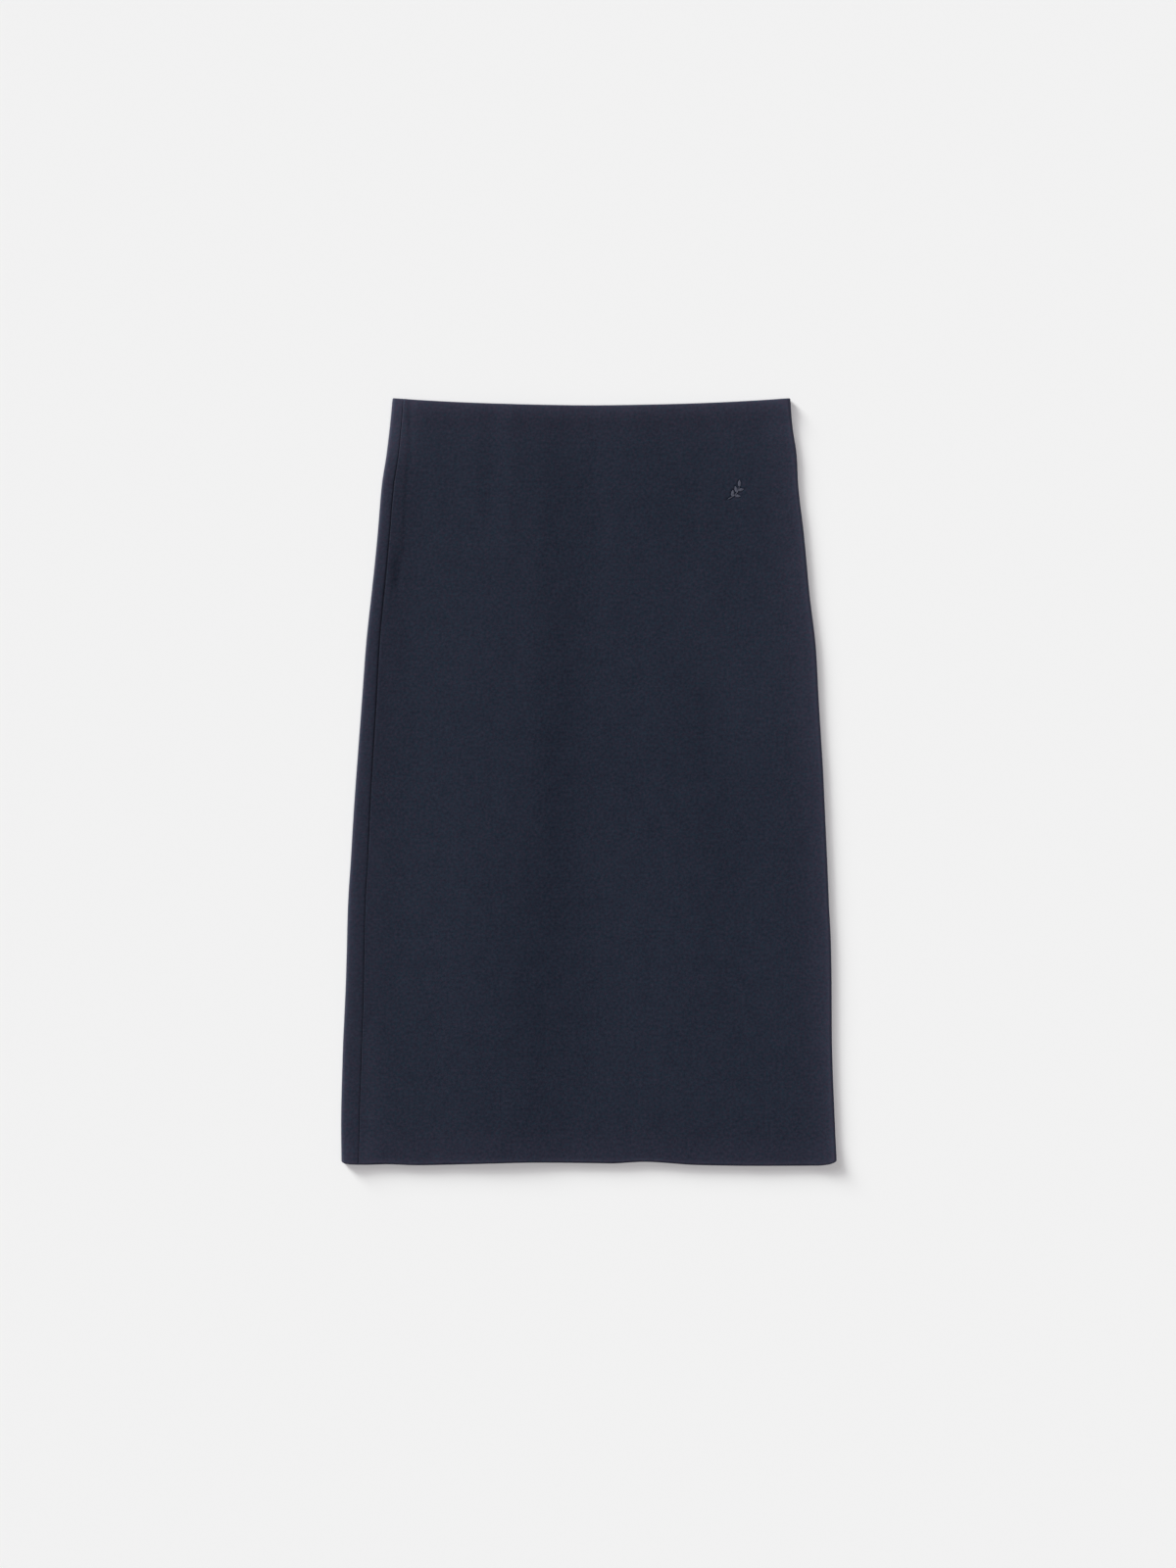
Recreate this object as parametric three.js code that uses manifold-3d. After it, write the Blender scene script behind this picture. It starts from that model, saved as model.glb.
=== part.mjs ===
// A pull-on midi skirt in firm double knit, laid flat with its front up.
// Millimetres. X runs across the skirt, Y from the hem to the waist, and Z up from the surface
// that it lies on. The origin is on that surface, under the middle of the skirt.
//
// The skirt is a tube of two panels, and it lies turned a little about its own length. So the
// left side seam has come round onto the top, the right one has gone underneath, and each panel
// has a long run, a fold that rounds one side, and a narrow strip beyond that fold.
import * as THREE from 'three';
import { mergeVertices } from 'three/addons/utils/BufferGeometryUtils.js';
import Module from 'manifold-3d';

// ---- Sizes ----
const LENGTH = 721; // hem to the corners of the waist
const WALL = 1.6; // one layer of the knit
const TURNED_WALL = 2.4; // the knit where it is turned in and pressed, at the waist and hem
const TURNING = 28; // how far from the waist or hem the turned edge has thinned to one layer
const EDGE_ROUND = 1.2; // how far the rounding of the waist and hem edges runs
const WAIST_DIP = 6.6; // how far the middle of the waist lies below its corners
const FOLD_REACH = 3.4; // how far the rounded side folds reach in from the sides
const SEAM_GAP = 0.3;
const SEAM_DIP = 0.7; // how far the knit turns in at a side seam
const SEAM_SHOULDER = 2; // how wide that turn is
const AIR = 1.5; // air between the layers where no fold lifts or presses them
const LEAST_AIR = 0.4;
const FOLD_AIR = 1.1; // extra air beside the side folds, where the knit resists bending
const FOLD_AIR_SPREAD = 12; // how far in that extra air runs

const CLOTH = { color: 0x252935, roughness: 0.95, metalness: 0 };
const THREAD = { color: 0x4a4e60, roughness: 0.6, metalness: 0 };

// The outline, a row for each level from the hem up. `seam` is how far the side seams lie in
// from the sides: the left one on top, the right one underneath.
const OUTLINE = [
  { y: -360.5, left: -231.9, right: 233, seam: 15.9 },
  { y: -322, left: -232.3, right: 231.2, seam: 17.3 },
  { y: -264, left: -230.9, right: 229, seam: 17.7 },
  { y: -223, left: -229.4, right: 228.2, seam: 17.4 },
  { y: -157, left: -226.8, right: 227.7, seam: 16.4 },
  { y: -112, left: -225.6, right: 225.5, seam: 16.3 },
  { y: -75, left: -223.4, right: 223.8, seam: 16 },
  { y: -2, left: -218.6, right: 220.7, seam: 14.8 },
  { y: 72, left: -213.4, right: 215.9, seam: 13.7 },
  { y: 125, left: -209.2, right: 213.3, seam: 12.6 },
  { y: 178, left: -203.7, right: 207, seam: 11.8 },
  { y: 236, left: -197.7, right: 201.7, seam: 11.4 },
  { y: 280, left: -194, right: 196.6, seam: 11.4 },
  { y: 305, left: -190.2, right: 195.3, seam: 11.3 },
  { y: 334, left: -186.6, right: 191.3, seam: 10.8 },
  { y: 360.5, left: -183.9, right: 189.2, seam: 10.3 },
];

// The hem's waves: how far it lies above its lowest level, from the left side, 0, to the right, 1.
const HEM = [
  { across: 0, lift: 3.5 },
  { across: 0.012, lift: 1.3 },
  { across: 0.05, lift: 1 },
  { across: 0.09, lift: 1.5 },
  { across: 0.15, lift: 0.6 },
  { across: 0.26, lift: 1.6 },
  { across: 0.4, lift: 3 },
  { across: 0.5, lift: 2.6 },
  { across: 0.545, lift: 2.3 },
  { across: 0.61, lift: 3.8 },
  { across: 0.72, lift: 0.8 },
  { across: 0.84, lift: 0 },
  { across: 0.96, lift: 0.2 },
  { across: 0.985, lift: 1.3 },
  { across: 1, lift: 3.9 },
];

// The largest folds of the layer on top, as soft ridges and troughs from a top to a foot.
const FOLDS = [
  { name: 'left ridge', topX: -70, topY: 350, footX: -82, footY: -330, spread: 46, rise: 1.7 },
  { name: 'centre trough', topX: 2, topY: 320, footX: -2, footY: -300, spread: 36, rise: -0.9 },
  { name: 'middle ridge', topX: 58, topY: 345, footX: 92, footY: -170, spread: 36, rise: 1.4 },
  { name: 'right trough', topX: 128, topY: 250, footX: 150, footY: -260, spread: 28, rise: -0.7 },
  { name: 'seam hollow', topX: -160, topY: 300, footX: -186, footY: -260, spread: 18, rise: -0.6 },
];

// The embroidered sprig on the front: its middle, its stem's curve and its leaves, each with its
// place along the stem, the angle at which it leaves it, in degrees, and its length.
const SPRIG = { x: 137, y: 274, stemWidth: 0.9, thickness: 0.6, leafFullness: 2.9 };
const STEM = new THREE.QuadraticBezierCurve(
  new THREE.Vector2(-6.5, -8.5),
  new THREE.Vector2(4, -4),
  new THREE.Vector2(4.5, 3.5),
);
const LEAVES = [
  { along: 0.24, turn: 52, length: 6.4 },
  { along: 0.36, turn: -50, length: 6 },
  { along: 0.58, turn: 54, length: 6.2 },
  { along: 0.72, turn: -48, length: 5.4 },
  { along: 0.97, turn: 4, length: 6.6 },
];

// ---- Curves ----
const HALF_LENGTH = LENGTH / 2;
const mix = (a, b, t) => a + (b - a) * t;
const limit = (value, low, high) => Math.min(Math.max(value, low), high);
const soften = (t) => t * t * (3 - 2 * t);
const bell = (t) => Math.exp(-t * t);

// The smooth curve through one column of a table, which never overshoots a row.
function read(rows, key, column, at) {
  const last = rows.length - 1;
  const slope = (i) => (rows[i + 1][column] - rows[i][column]) / (rows[i + 1][key] - rows[i][key]);
  const tangent = (i) => {
    const before = slope(Math.max(i - 1, 0));
    const after = slope(Math.min(i, last - 1));
    return before * after <= 0 ? 0 : (2 * before * after) / (before + after);
  };
  const place = limit(at, rows[0][key], rows[last][key]);
  let i = 0;
  while (i < last - 1 && place > rows[i + 1][key]) i += 1;
  const span = rows[i + 1][key] - rows[i][key];
  const t = (place - rows[i][key]) / span;
  const bend = t * (1 - t) * span * ((1 - t) * (tangent(i) - slope(i)) - t * (tangent(i + 1) - slope(i)));
  return mix(rows[i][column], rows[i + 1][column], t) + bend;
}

const left = (level) => read(OUTLINE, 'y', 'left', level);
const right = (level) => read(OUTLINE, 'y', 'right', level);
const seam = (level) => read(OUTLINE, 'y', 'seam', level);

// The knit's thickness, doubled up softly towards the waist and hem.
function wall(level) {
  const fromEnd = HALF_LENGTH - Math.abs(level);
  return mix(TURNED_WALL, WALL, soften(limit(fromEnd / TURNING, 0, 1)));
}

function foldRise(fold, x, level) {
  const down = limit((fold.topY - level) / (fold.topY - fold.footY), 0, 1);
  const past = level - mix(fold.topY, fold.footY, down);
  const aside = x - mix(fold.topX, fold.footX, down);
  return fold.rise * bell(aside / fold.spread) * bell(past / (2 * fold.spread));
}

// How high the outside of the upper layer lies.
function topHeight(x, level) {
  const fromSide = Math.min(x - left(level), right(level) - x);
  let air = AIR + FOLD_AIR * bell((fromSide - 2 * FOLD_REACH) / FOLD_AIR_SPREAD);
  for (const fold of FOLDS) air += foldRise(fold, x, level);
  return 2 * wall(level) + Math.max(air, LEAST_AIR);
}

// How far a point lies off its level, where the hem waves and the waist dips.
function shift(x, level) {
  const across = limit((x - left(level)) / (right(level) - left(level)), 0, 1);
  const upwards = (level + HALF_LENGTH) / LENGTH;
  const dip = WAIST_DIP * (1 - (2 * across - 1) ** 2);
  return mix(read(HEM, 'across', 'lift', across), -dip, upwards);
}

// ---- Panels ----
// Each column gives, for a level, the outside and inside of the knit as [x, z].

// A column of the upper layer, at a place across and dipping by some depth into a seam.
const topColumn = (place, dip = 0) => (level) => {
  const x = place(level);
  const height = topHeight(x, level);
  return { outer: [x, height - dip], inner: [x, height - wall(level)] };
};

// A column of the lower layer, which lies flat.
const underColumn = (place, dip = 0) => (level) => {
  const x = place(level);
  return { outer: [x, dip], inner: [x, wall(level)] };
};

// A column of a side fold, at a turn from a quarter circle, at the top, to minus that, underneath.
const foldColumn = (side, turn) => (level) => {
  const x = (side > 0 ? right(level) : left(level)) - side * FOLD_REACH;
  const middle = topHeight(x, level) / 2;
  const at = (inset) => [
    x + side * (FOLD_REACH - inset) * Math.cos(turn),
    middle + (middle - inset) * Math.sin(turn),
  ];
  return { outer: at(0), inner: at(wall(level)) };
};

const FOLD_STEPS = 6;
const foldColumns = (side) =>
  Array.from({ length: FOLD_STEPS - 1 }, (_, i) => {
    const turn = Math.PI * (0.5 - (i + 1) / FOLD_STEPS);
    return foldColumn(side, side * turn);
  });

// Places across, each a function of the level: so far in from a side, or between two others.
const fromLeft = (distance) => (level) => left(level) + distance;
const fromRight = (distance) => (level) => right(level) - distance;
const fromLeftSeam = (distance) => (level) => left(level) + seam(level) + distance;
const fromRightSeam = (distance) => (level) => right(level) - seam(level) + distance;
const between = (start, end, steps) =>
  Array.from({ length: steps + 1 }, (_, i) => (level) => mix(start(level), end(level), i / steps));

// The levels of the rows: close together where the edges are turned, and then even.
const EVEN_ROWS = 18;
const TURNED_ROWS = [EDGE_ROUND, 0.4 * TURNING];
const LEVELS = [
  ...TURNED_ROWS.map((distance) => distance - HALF_LENGTH),
  ...Array.from({ length: EVEN_ROWS + 1 }, (_, i) =>
    mix(TURNING - HALF_LENGTH, HALF_LENGTH - TURNING, i / EVEN_ROWS),
  ),
  ...TURNED_ROWS.map((distance) => HALF_LENGTH - distance).reverse(),
];

// One panel's closed wall, from its columns in order: clockwise about Y, outside facing out.
function panel(name, columns) {
  const rows = LEVELS.length;
  const around = 2 * rows + 2;
  const outerRow = (i) => 1 + i;
  const innerRow = (i) => around - 1 - i;
  const positions = [];
  const put = ([x, z], level) => positions.push(x, level + shift(x, level), z);
  const putTip = (column, level) => {
    const { outer, inner } = column(level);
    put([(outer[0] + inner[0]) / 2, (outer[1] + inner[1]) / 2], level);
  };
  for (const column of columns) {
    putTip(column, -HALF_LENGTH);
    for (const level of LEVELS) put(column(level).outer, level);
    putTip(column, HALF_LENGTH);
    for (const level of [...LEVELS].reverse()) put(column(level).inner, level);
  }

  const triangles = [];
  for (let c = 0; c + 1 < columns.length; c += 1) {
    for (let k = 0; k < around; k += 1) {
      const next = (k + 1) % around;
      const [a, b, d, e] = [k, next, k + around, next + around].map((i) => i + c * around);
      triangles.push(a, d, e, a, e, b);
    }
  }
  // The two long ends, at the seams.
  const close = (first, flip) => {
    const face = (a, b, c) => {
      const corners = flip ? [a, c, b] : [a, b, c];
      triangles.push(...corners.map((i) => i + first));
    };
    face(0, outerRow(0), innerRow(0));
    for (let i = 0; i + 1 < rows; i += 1) {
      face(outerRow(i), outerRow(i + 1), innerRow(i + 1));
      face(outerRow(i), innerRow(i + 1), innerRow(i));
    }
    face(outerRow(rows - 1), rows + 1, innerRow(rows - 1));
  };
  close(0, false);
  close((columns.length - 1) * around, true);
  return mesh(name, positions, triangles, CLOTH);
}

function mesh(name, positions, triangles, finish) {
  const geometry = new THREE.BufferGeometry();
  geometry.setAttribute('position', new THREE.Float32BufferAttribute(positions, 3));
  geometry.setIndex(triangles);
  geometry.computeVertexNormals();
  const result = new THREE.Mesh(geometry, new THREE.MeshStandardMaterial(finish));
  result.name = name;
  return result;
}

// The front: across the top from the left seam, round the right side and under to the right seam.
function frontPanel() {
  const half = SEAM_GAP / 2;
  return panel('front_panel', [
    topColumn(fromLeftSeam(half), SEAM_DIP),
    ...between(fromLeftSeam(half + SEAM_SHOULDER), fromRight(30), 16).map((place) => topColumn(place)),
    topColumn(fromRight(15)),
    topColumn(fromRight(2 * FOLD_REACH)),
    topColumn(fromRight(FOLD_REACH)),
    ...foldColumns(1),
    underColumn(fromRight(FOLD_REACH)),
    underColumn(fromRightSeam(half + SEAM_SHOULDER)),
    underColumn(fromRightSeam(half), SEAM_DIP),
  ]);
}

// The back: across underneath from the right seam, round the left side and over to the left seam.
function backPanel() {
  const half = SEAM_GAP / 2;
  return panel('back_panel', [
    underColumn(fromRightSeam(-half), SEAM_DIP),
    ...between(fromRightSeam(-half - SEAM_SHOULDER), fromLeft(FOLD_REACH), 14).map((place) =>
      underColumn(place),
    ),
    ...foldColumns(-1),
    topColumn(fromLeft(FOLD_REACH)),
    topColumn(fromLeftSeam(-half - SEAM_SHOULDER)),
    topColumn(fromLeftSeam(-half), SEAM_DIP),
  ]);
}

// ---- Embroidery ----
// A leaf of the given length from the origin along X.
function leafShape(length) {
  const shape = new THREE.Shape();
  shape.moveTo(0, 0);
  shape.quadraticCurveTo(0.42 * length, -SPRIG.leafFullness, length, 0);
  shape.quadraticCurveTo(0.42 * length, SPRIG.leafFullness, 0, 0);
  return shape;
}

// The stem as a narrow ribbon along its curve.
function stemShape() {
  const steps = 10;
  const side = (sign) =>
    Array.from({ length: steps + 1 }, (_, i) => {
      const tangent = STEM.getTangent(i / steps);
      const across = new THREE.Vector2(-tangent.y, tangent.x).multiplyScalar((sign * SPRIG.stemWidth) / 2);
      return STEM.getPoint(i / steps).add(across);
    });
  return new THREE.Shape([...side(-1), ...side(1).reverse()]);
}

// The stem and leaves joined into one plate, then laid over the front just clear of the cloth.
async function sprig() {
  const wasm = await Module();
  wasm.setup();
  const solid = (shape, turn, at) => {
    const geometry = new THREE.ExtrudeGeometry(shape, {
      depth: SPRIG.thickness,
      bevelEnabled: false,
      curveSegments: 5,
    });
    geometry.rotateZ(turn);
    geometry.translate(at.x, at.y, 0);
    geometry.deleteAttribute('normal');
    geometry.deleteAttribute('uv');
    const merged = mergeVertices(geometry, 1e-4);
    return new wasm.Manifold(
      new wasm.Mesh({
        numProp: 3,
        vertProperties: merged.attributes.position.array,
        triVerts: Uint32Array.from(merged.index.array),
      }),
    );
  };
  let joined = solid(stemShape(), 0, new THREE.Vector2(0, 0));
  for (const { along, turn, length } of LEAVES) {
    const heading = STEM.getTangent(along).angle() + THREE.MathUtils.degToRad(turn);
    joined = joined.add(solid(leafShape(length), heading, STEM.getPoint(along)));
  }
  const { vertProperties, triVerts } = joined.getMesh();
  const positions = [];
  for (let i = 0; i < vertProperties.length; i += 3) {
    const x = SPRIG.x + vertProperties[i];
    const y = SPRIG.y + vertProperties[i + 1];
    const level = y - shift(x, y);
    positions.push(x, y, vertProperties[i + 2] + topHeight(x, level) + SEAM_GAP);
  }
  return mesh('embroidered_sprig', positions, Array.from(triVerts), THREAD);
}

const group = new THREE.Group();
group.add(frontPanel(), backPanel(), await sprig());

export default group;
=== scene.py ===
"""The looks of a pull-on midi skirt in navy double knit, laid flat with its front up.

Sizes are in millimetres, and become metres where a mesh or a material is made; the room's are
in metres. X runs across the skirt, Y from the hem to the waist, and Z up from the surface that
the skirt lies on. It is a tube of two panels, turned a little about its length: its left side
seam has come round onto the top, and its right one has gone underneath.
"""
import math

import bpy
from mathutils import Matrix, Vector
import numpy as np


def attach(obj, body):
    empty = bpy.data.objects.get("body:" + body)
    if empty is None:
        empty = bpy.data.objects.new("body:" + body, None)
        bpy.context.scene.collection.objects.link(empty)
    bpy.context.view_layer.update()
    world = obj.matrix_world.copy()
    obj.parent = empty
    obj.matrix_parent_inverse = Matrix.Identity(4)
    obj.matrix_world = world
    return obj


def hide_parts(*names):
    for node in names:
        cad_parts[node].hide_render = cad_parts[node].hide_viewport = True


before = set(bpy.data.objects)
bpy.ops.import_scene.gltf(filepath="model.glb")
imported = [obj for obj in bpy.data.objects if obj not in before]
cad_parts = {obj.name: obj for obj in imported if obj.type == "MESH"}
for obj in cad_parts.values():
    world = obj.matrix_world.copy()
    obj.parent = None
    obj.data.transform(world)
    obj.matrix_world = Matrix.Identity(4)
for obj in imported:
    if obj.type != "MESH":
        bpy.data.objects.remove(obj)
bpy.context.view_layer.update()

MM = 0.001

# ---- The cloth's sizes ----
LENGTH = 721  # hem to the corners of the waist
WALL = 1.6  # one layer of the knit
TURNED_WALL = 2.4  # the knit where it is turned in and pressed, at the waist and hem
TURNING = 28  # how far from the waist or hem the turned edge has thinned to one layer
EDGE_ROUND = 1.2  # how far the rounding of the waist and hem edges runs
WAIST_DIP = 6.6  # how far the middle of the waist lies below its corners
FOLD_REACH = 3.4  # how far the rounded side folds reach in from the sides
SEAM_GAP = 0.3  # between the two panels, all along both side seams
SEAM_EDGE = 0.5  # how far from the seam the front has risen onto the allowance
LEAST_GROOVE = 0.12  # the seam's groove is never shallower
AIR = 1.5  # air between the layers where no fold lifts or presses them
LEAST_AIR = 0.4
AIR_SOFTNESS = 0.2  # how gently the air settles to its least
FOLD_AIR = 1.1  # extra air beside the side folds, where the knit resists bending
FOLD_AIR_SPREAD = 12  # how far in that extra air runs
HEM_PEEK = 1.1  # how far the lower layer shows past the upper one at the hem
WAIST_PEEK = 0.3  # and at the waist
PEEK_RUN = 70  # how far from the hem or waist the layers begin to slip past each other
ALLOWANCE = 12  # width of the seam allowance that is pressed under the front
ALLOWANCE_PULL = 7.5  # how much of that is drawn back under the seam at the waist
PULL_FROM = 215  # the level where that pull begins
PULL_OVER = 140  # and how far up from there it is complete
ALLOWANCE_STEP = 0.45  # how far it lifts the front, near the waist
ALLOWANCE_EDGE = 2  # how far to each side of its edge that step runs out
SHOWS_FROM = 165  # the level from which the allowance shows through
SHOWS_OVER = 70  # and how far up from there it shows in full
UNDER_MARGIN = 20  # how far in from its edges the lower layer lies flat on the surface
UNDER_SIDE_RUN = 30  # and how far in from there its hollows are in full, from the sides
UNDER_END_RUN = 40  # and from the hem and waist

# The outline, a row for each level from the hem up. `seam` is how far the side seams lie in from
# the sides, and `groove` how deep the knit turns in at them.
OUTLINE = [
    {"y": -360.5, "left": -231.9, "right": 233, "seam": 15.9, "groove": 0.4},
    {"y": -322, "left": -232.3, "right": 231.2, "seam": 17.3, "groove": 0.48},
    {"y": -264, "left": -230.9, "right": 229, "seam": 17.7, "groove": 0.6},
    {"y": -223, "left": -229.4, "right": 228.2, "seam": 17.4, "groove": 0.68},
    {"y": -157, "left": -226.8, "right": 227.7, "seam": 16.4, "groove": 0.7},
    {"y": -112, "left": -225.6, "right": 225.5, "seam": 16.3, "groove": 0.8},
    {"y": -75, "left": -223.4, "right": 223.8, "seam": 16, "groove": 0.86},
    {"y": -2, "left": -218.6, "right": 220.7, "seam": 14.8, "groove": 1.15},
    {"y": 72, "left": -213.4, "right": 215.9, "seam": 13.7, "groove": 1.35},
    {"y": 125, "left": -209.2, "right": 213.3, "seam": 12.6, "groove": 1.45},
    {"y": 178, "left": -203.7, "right": 207, "seam": 11.8, "groove": 1.45},
    {"y": 236, "left": -197.7, "right": 201.7, "seam": 11.4, "groove": 1.25},
    {"y": 280, "left": -194, "right": 196.6, "seam": 11.4, "groove": 1.05},
    {"y": 305, "left": -190.2, "right": 195.3, "seam": 11.3, "groove": 0.9},
    {"y": 334, "left": -186.6, "right": 191.3, "seam": 10.8, "groove": 0.48},
    {"y": 360.5, "left": -183.9, "right": 189.2, "seam": 10.3, "groove": 0.15},
]

# The hem's waves: how far it lies above its lowest level, from the left side, 0, to the right, 1.
HEM = [
    {"across": 0, "lift": 3.5},
    {"across": 0.012, "lift": 1.3},
    {"across": 0.05, "lift": 1},
    {"across": 0.09, "lift": 1.5},
    {"across": 0.15, "lift": 0.6},
    {"across": 0.26, "lift": 1.6},
    {"across": 0.4, "lift": 3},
    {"across": 0.5, "lift": 2.6},
    {"across": 0.545, "lift": 2.3},
    {"across": 0.61, "lift": 3.8},
    {"across": 0.72, "lift": 0.8},
    {"across": 0.84, "lift": 0},
    {"across": 0.96, "lift": 0.2},
    {"across": 0.985, "lift": 1.3},
    {"across": 1, "lift": 3.9},
]

# Soft ridges and troughs of the layer on top: from a top to a foot, with how far each spreads to
# its sides and how far it rises. The last rows are the small ones.
FOLDS = [
    {"name": "left ridge", "top": (-70, 350), "foot": (-81, -285), "spread": 46, "rise": 1.7},
    {"name": "centre trough", "top": (2, 320), "foot": (-2, -300), "spread": 36, "rise": -0.9},
    {"name": "middle ridge", "top": (58, 345), "foot": (92, -170), "spread": 36, "rise": 1.4},
    {"name": "right trough", "top": (128, 250), "foot": (150, -260), "spread": 28, "rise": -0.7},
    {"name": "seam hollow", "top": (-160, 300), "foot": (-186, -260), "spread": 18, "rise": -0.6},
    {"name": "waist ripple", "top": (-74, 352), "foot": (-77, 215), "spread": 8, "rise": 0.5},
    {"name": "waist furrow", "top": (-92, 345), "foot": (-95, 255), "spread": 7, "rise": -0.45},
    {"name": "short ripple", "top": (19, 340), "foot": (22, 180), "spread": 10, "rise": 0.35},
    {"name": "dimple", "top": (-179.8, 201), "foot": (-180.4, 189), "spread": 3.8, "rise": -0.9},
]

# Painted shade and painted light on top, in the same columns: darker bands on the flanks and in the
# furrows of the folds that face away from the light, lighter ones on those that face it; `rise` is the
# share by which each changes the colour.
PAINTED_SHADE_AND_LIGHT = [
    {"name": "centre furrow", "top": (-27, 290), "foot": (-42, -300), "spread": 25, "rise": -0.08},
    {"name": "its lower half", "top": (-40, 20), "foot": (-50, -190), "spread": 27, "rise": -0.08},
    {"name": "beside it", "top": (-61, 335), "foot": (-54, -60), "spread": 14, "rise": 0.08},
    {"name": "left field", "top": (-125, 300), "foot": (-140, -130), "spread": 58, "rise": 0.07},
    {"name": "left shade", "top": (-103, 40), "foot": (-98, -270), "spread": 24, "rise": -0.07},
    {"name": "left side", "top": (-197, 300), "foot": (-224, -345), "spread": 20, "rise": 0.11},
    {"name": "right side", "top": (198, 215), "foot": (223, -340), "spread": 18, "rise": 0.08},
    {"name": "right hip", "top": (182, 190), "foot": (192, 90), "spread": 32, "rise": 0.16},
    {"name": "right field", "top": (98, 195), "foot": (126, 84), "spread": 27, "rise": 0.165},
    {"name": "right furrow", "top": (104, 320), "foot": (98, 240), "spread": 17, "rise": -0.04},
    {"name": "middle shade", "top": (36, 150), "foot": (42, -30), "spread": 22, "rise": -0.06},
    {"name": "short shade", "top": (70, -50), "foot": (66, -160), "spread": 16, "rise": -0.04},
    {"name": "thigh furrow", "top": (112, 60), "foot": (122, -60), "spread": 24, "rise": -0.03},
    {"name": "dusk", "top": (-10, 40), "foot": (-6, -10), "spread": 46, "rise": -0.04},
    {"name": "lower dusk", "top": (-14, -105), "foot": (-4, -250), "spread": 20, "rise": -0.08},
    {"name": "left corner", "top": (-171, 362), "foot": (-175, 331), "spread": 16, "rise": 0.68},
    {"name": "right corner", "top": (168, 362), "foot": (174, 318), "spread": 26, "rise": 0.21},
    {"name": "waist right", "top": (112, 362), "foot": (112, 334), "spread": 34, "rise": 0.14},
    {"name": "first ripple", "top": (-118, 360), "foot": (-119, 338), "spread": 10, "rise": 0.06},
    {"name": "waist furrow", "top": (-95, 350), "foot": (-95, 265), "spread": 8, "rise": -0.06},
    {"name": "waist ripple", "top": (-74, 350), "foot": (-76, 220), "spread": 7, "rise": 0.06},
    {"name": "small furrow", "top": (-59, 358), "foot": (-60, 335), "spread": 6, "rise": -0.05},
    {"name": "last ripple", "top": (-38, 360), "foot": (-40, 338), "spread": 11, "rise": 0.11},
    {"name": "waist middle", "top": (-14, 344), "foot": (-14, 338), "spread": 14, "rise": 0.1},
    {"name": "short ripple", "top": (18, 335), "foot": (20, 110), "spread": 12, "rise": 0.04},
    {"name": "left foot", "top": (-142, -325), "foot": (-122, -342), "spread": 26, "rise": 0.07},
    {"name": "beside the seam", "top": (-202, -60), "foot": (-206, -345), "spread": 9, "rise": 0.09},
    {"name": "left hem", "top": (-180, -338), "foot": (-160, -350), "spread": 24, "rise": 0.07},
    {"name": "right thigh", "top": (214, -180), "foot": (218, -235), "spread": 14, "rise": 0.08},
    {"name": "upper dusk", "top": (50, 265), "foot": (70, 238), "spread": 32, "rise": -0.05},
    {"name": "right dusk", "top": (104, 58), "foot": (60, 16), "spread": 32, "rise": -0.05},
    {"name": "left dusk", "top": (-88, -150), "foot": (-66, -225), "spread": 24, "rise": -0.05},
    {"name": "seam foot", "top": (-206, -250), "foot": (-208, -345), "spread": 15, "rise": 0.16},
    {"name": "dimple line", "top": (-180, 224), "foot": (-180, 208), "spread": 2, "rise": -0.08},
    {"name": "dimple", "top": (-179.5, 204), "foot": (-180.3, 188), "spread": 4.2, "rise": -0.27},
]

# Shallow hollows of the layer underneath, which rests on the surface everywhere else.
HOLLOWS = [
    {"name": "long hollow", "top": (-95, 260), "foot": (-70, -220), "spread": 22, "rise": 0.5},
    {"name": "middle hollow", "top": (60, 300), "foot": (85, 20), "spread": 20, "rise": 0.45},
    {"name": "short hollow", "top": (70, -120), "foot": (100, -260), "spread": 16, "rise": 0.35},
]

# Painted shade in the hollows underneath, and painted light on the fields beside them.
PAINTED_SHADE_UNDERNEATH = [
    {"name": "long band", "top": (-96, 300), "foot": (-66, -260), "spread": 26, "rise": -0.09},
    {"name": "middle band", "top": (62, 310), "foot": (88, 10), "spread": 22, "rise": -0.07},
    {"name": "pale field", "top": (140, 150), "foot": (150, -180), "spread": 50, "rise": 0.07},
    {"name": "pale foot", "top": (-140, -250), "foot": (-130, -330), "spread": 44, "rise": 0.06},
]

# The embroidered sprig on the front: its middle, how full its leaves are and where their sides
# bow out, as a share of their length. Each leaf has its place along the stem, the angle at which
# it leaves it, in degrees, and its length.
SPRIG = {"x": 137, "y": 274, "leaf_fullness": 2.9, "leaf_bow": 0.42}
STEM = [(-6.5, -8.5), (4, -4), (4.5, 3.5)]  # its foot, the point that bends it, and its tip
STEM_HALF_WIDTH = 0.4
LEAVES = [
    {"along": 0.24, "turn": 52, "length": 6.4},
    {"along": 0.36, "turn": -50, "length": 6.0},
    {"along": 0.58, "turn": 54, "length": 6.2},
    {"along": 0.72, "turn": -48, "length": 5.4},
    {"along": 0.97, "turn": 4, "length": 6.6},
]
SPRIG_REACH = 12  # from its middle to past its furthest stitch

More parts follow.
